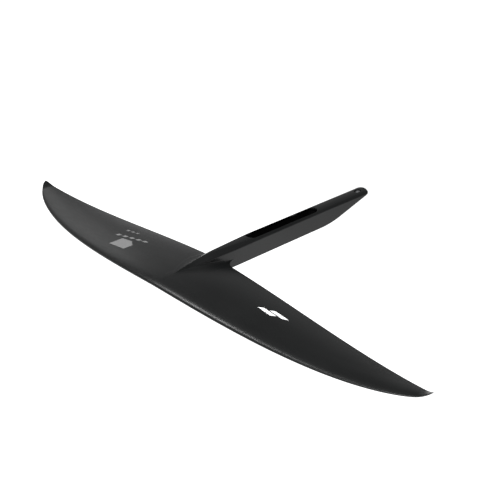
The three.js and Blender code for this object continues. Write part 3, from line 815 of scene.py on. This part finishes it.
def carbon_skin(tree, shader):
    weave = twill(tree, TOW_WIDTH)
    cloud = noise(tree, position(tree), 9, 4)
    grain = noise(tree, position(tree), 1400, 2)
    scuff = noise(tree, stretched(tree, (40, 260, 40)), 1, 5, 0.7)
    tone = added(tree, cloud, weave, 0.12)
    colour = blended_colour(tree, ramp(tree, tone, 0, 1), SKIN_DARK, SKIN_LIGHT)
    tree.links.new(colour, shader.inputs["Base Color"])
    rough = added(tree, ramp(tree, scuff, 0.28, 0.34), weave, 0.02)
    tree.links.new(rough, shader.inputs["Roughness"])
    height = added(tree, grain, weave, 0.35)
    tree.links.new(bump(tree, height, 0.05, 0.00008), shader.inputs["Normal"])
    shader.inputs["Specular IOR Level"].default_value = SKIN_SPECULAR


def raw_carbon(tree, shader):
    tows = noise(tree, stretched(tree, (6, 900, 900)), 1, 4, 0.6)
    share = ramp(tree, tows, 0, 1)
    colour = blended_colour(tree, share, (0.012, 0.012, 0.013), (0.05, 0.05, 0.053))
    tree.links.new(colour, shader.inputs["Base Color"])
    tree.links.new(ramp(tree, tows, 0.28, 0.5), shader.inputs["Roughness"])
    tree.links.new(bump(tree, tows, 0.3, 0.0002), shader.inputs["Normal"])


def socket_liner(tree, shader):
    grain = noise(tree, position(tree), 1800, 3, 0.6)
    drawn = noise(tree, stretched(tree, (300, 300, 9)), 1, 3)
    share = ramp(tree, drawn, 0, 1)
    # Painted shade: the liner's near-black colour and weak specular stand in for the shade inside the slot;
    # the faint lengthwise streaks are its own texture
    colour = blended_colour(tree, share, (0.0006, 0.0006, 0.0007), (0.0012, 0.0012, 0.0013))
    tree.links.new(colour, shader.inputs["Base Color"])
    tree.links.new(ramp(tree, drawn, 0.5, 0.66), shader.inputs["Roughness"])
    tree.links.new(bump(tree, grain, 0.2, 0.00008), shader.inputs["Normal"])
    shader.inputs["Specular IOR Level"].default_value = 0.08


def foam(light, dark, cells):
    def build(tree, shader):
        inputs = {"Vector": position(tree), "Scale": cells}
        cell = node(tree, "ShaderNodeTexVoronoi", inputs).outputs["Distance"]
        cloud = noise(tree, position(tree), 30)
        colour = blended_colour(tree, added(tree, ramp(tree, cell, 0, 1, 0, 0.6), cloud, 0.3), dark, light)
        tree.links.new(colour, shader.inputs["Base Color"])
        tree.links.new(ramp(tree, cloud, 0.8, 0.95), shader.inputs["Roughness"])
        tree.links.new(bump(tree, cell, 0.5, 0.0003), shader.inputs["Normal"])

    return build


def metal(colour, roughness, brushing):
    def build(tree, shader):
        shader.inputs["Metallic"].default_value = 1.0
        lines = noise(tree, stretched(tree, brushing), 1, 3, 0.6)
        dark = tuple(c * 0.75 for c in colour)
        brushed = blended_colour(tree, ramp(tree, lines, 0, 1), dark, colour)
        tree.links.new(brushed, shader.inputs["Base Color"])
        rough = ramp(tree, lines, roughness, roughness + 0.18)
        tree.links.new(rough, shader.inputs["Roughness"])
        tree.links.new(bump(tree, lines, 0.15, 0.00005), shader.inputs["Normal"])

    return build


def printed(light, dark, roughness):
    def build(tree, shader):
        speckle = noise(tree, position(tree), 900, 2)
        colour = blended_colour(tree, ramp(tree, speckle, 0, 1), dark, light)
        tree.links.new(colour, shader.inputs["Base Color"])
        tree.links.new(ramp(tree, speckle, roughness, roughness + 0.1), shader.inputs["Roughness"])
        tree.links.new(bump(tree, speckle, 0.05, 0.00003), shader.inputs["Normal"])

    return build


finishes = {
    "carbon_skin": material("satin_carbon", carbon_skin),
    "carbon_strip": material("raw_carbon", raw_carbon),
    "socket_liner": material("socket_laminate_painted_shade", socket_liner),
    "foam_core": material("foam", foam((0.72, 0.66, 0.5), (0.6, 0.53, 0.38), 1500)),
    "dense_foam": material("dense_foam", foam((0.55, 0.45, 0.3), (0.42, 0.33, 0.2), 2500)),
    "load_plate": material("milled_plate", metal((0.7, 0.71, 0.72), 0.28, (900, 12, 900))),
    "bolt_sleeve": material("turned_steel", metal((0.34, 0.345, 0.35), 0.3, (60, 60, 2500))),
}
white_print = material("white_print", printed((0.9, 0.9, 0.9), (0.84, 0.84, 0.84), 0.45))
grey_print = material("grey_print", printed((0.165, 0.165, 0.165), (0.15, 0.15, 0.15), 0.6))


def give(piece, finish):
    piece.data.materials.clear()
    piece.data.materials.append(finish)


def finish_cad_nodes():
    slots = {part["node"]: part["material_slot"] for part in frame["record"]["subparts"]}
    for name, cad_node in frame["nodes"].items():
        cad_node.material_slots[0].link = "OBJECT"
        cad_node.material_slots[0].material = finishes[slots[name]]


# ---- The assembly ----
shell = make_shell()
give(shell, finishes["carbon_skin"])
finish_cad_nodes()

# Plain generic marks: a pair of slanted white strokes to port, a grey block with bars to starboard
white_mark = film(
    "port_white_mark",
    [slanted(146, 180, -183, 7, 7), slanted(162, 197, -174, 6.5, 7)],
)
give(white_mark, white_print)
grey_mark = film("starboard_grey_mark", grey_shapes())
give(grey_mark, grey_print)


# ---- Stage: floor, light and camera ----
FLOOR_HALF_SIZE = 12
FLOOR_GAP = 0.0002


def make_floor():
    """A pale floor with a glow of its own, stronger ahead of the wing than behind it."""
    bm = bmesh.new()
    bmesh.ops.create_grid(bm, x_segments=2, y_segments=2, size=FLOOR_HALF_SIZE)
    floor = mesh_object("floor", bm)
    floor.location.z = cad_low.z - FLOOR_GAP

    def build(tree, shader):
        cloud = noise(tree, position(tree), 1.5)
        colour = blended_colour(tree, ramp(tree, cloud, 0, 1), (0.12, 0.12, 0.12), (0.14, 0.14, 0.14))
        tree.links.new(colour, shader.inputs["Base Color"])
        shader.inputs["Roughness"].default_value = 0.9
        shader.inputs["Specular IOR Level"].default_value = 0.1
        shader.inputs["Emission Color"].default_value = (1, 1, 1, 1)
        place = node(tree, "ShaderNodeSeparateXYZ", {"Vector": position(tree)}).outputs["Y"]
        glow = ramp(tree, place, GLOW_AHEAD, GLOW_BEHIND, 0.0, GLOW_LENGTH)
        tree.links.new(glow, shader.inputs["Emission Strength"])

    give(floor, material("pale_floor", build))


LIGHTS = [  # name, place, target, width, height and watts
    ("softbox_key", (1.0, -1.6, 2.2), (0, -0.1, 0), 1.0, 1.0, 105),
    ("strip_left", (-1.45, -0.35, 2.1), (0, -0.2, 0), 0.35, 1.0, 7),
    ("strip_left_ahead", (-1.35, -0.75, 2.0), (0, -0.2, 0), 0.35, 1.0, 6),
    ("strip_above", (-0.95, -0.35, 2.25), (0, -0.2, 0), 0.35, 0.6, 17),
    ("panel_behind", (-1.4, 0.4, 0.5), (-0.4, -0.2, 0), 0.4, 0.3, 0.4),
]


def make_light(name, place, target, width, height, watts):
    light = bpy.data.lights.new(name, "AREA")
    light.shape = "RECTANGLE"
    light.size = width
    light.size_y = height
    light.energy = watts
    lamp = bpy.data.objects.new(name, light)
    lamp.location = place
    lamp.rotation_euler = (Vector(target) - Vector(place)).to_track_quat("-Z", "Y").to_euler()
    bpy.context.scene.collection.objects.link(lamp)


def make_sky():
    """Soft studio surround, whose brightness changes with height."""
    world = bpy.data.worlds.new("studio")
    world.use_nodes = True
    tree = world.node_tree
    tree.nodes.clear()
    output = tree.nodes.new("ShaderNodeOutputWorld")
    background = tree.nodes.new("ShaderNodeBackground")
    direction = node(tree, "ShaderNodeTexCoord").outputs["Generated"]
    height = node(tree, "ShaderNodeSeparateXYZ", {"Vector": direction}).outputs["Z"]
    colours = node(tree, "ShaderNodeValToRGB", {"Fac": height})
    stops = colours.color_ramp.elements
    stops[0].position, stops[1].position = SKY_LEVELS[0][0], SKY_LEVELS[-1][0]
    for place, _ in SKY_LEVELS[1:-1]:
        stops.new(place)
    for stop, (_, level) in zip(sorted(stops, key=lambda s: s.position), SKY_LEVELS):
        stop.color = (level, level, level, 1)
    tree.links.new(colours.outputs["Color"], background.inputs["Color"])
    tree.links.new(background.outputs["Background"], output.inputs["Surface"])
    bpy.context.scene.world = world


make_sky()
make_floor()
for light in LIGHTS:
    make_light(*light)

CAMERA_PLACE = (1568.7, -1487.2, 1118.8)
CAMERA_YAW = 47.90
CAMERA_PITCH = -27.97
CAMERA_LENS = 107.75
CAMERA_SENSOR = 36
camera_data = bpy.data.cameras.new("camera")
camera_data.lens = CAMERA_LENS
camera_data.sensor_width = CAMERA_SENSOR
camera_data.clip_end = 50
camera = bpy.data.objects.new("camera", camera_data)
camera.location = Vector(CAMERA_PLACE) * MM
camera.rotation_euler = (math.radians(90 + CAMERA_PITCH), 0, math.radians(CAMERA_YAW))
bpy.context.scene.collection.objects.link(camera)
bpy.context.scene.camera = camera
bpy.context.scene.view_settings.view_transform = "Standard"
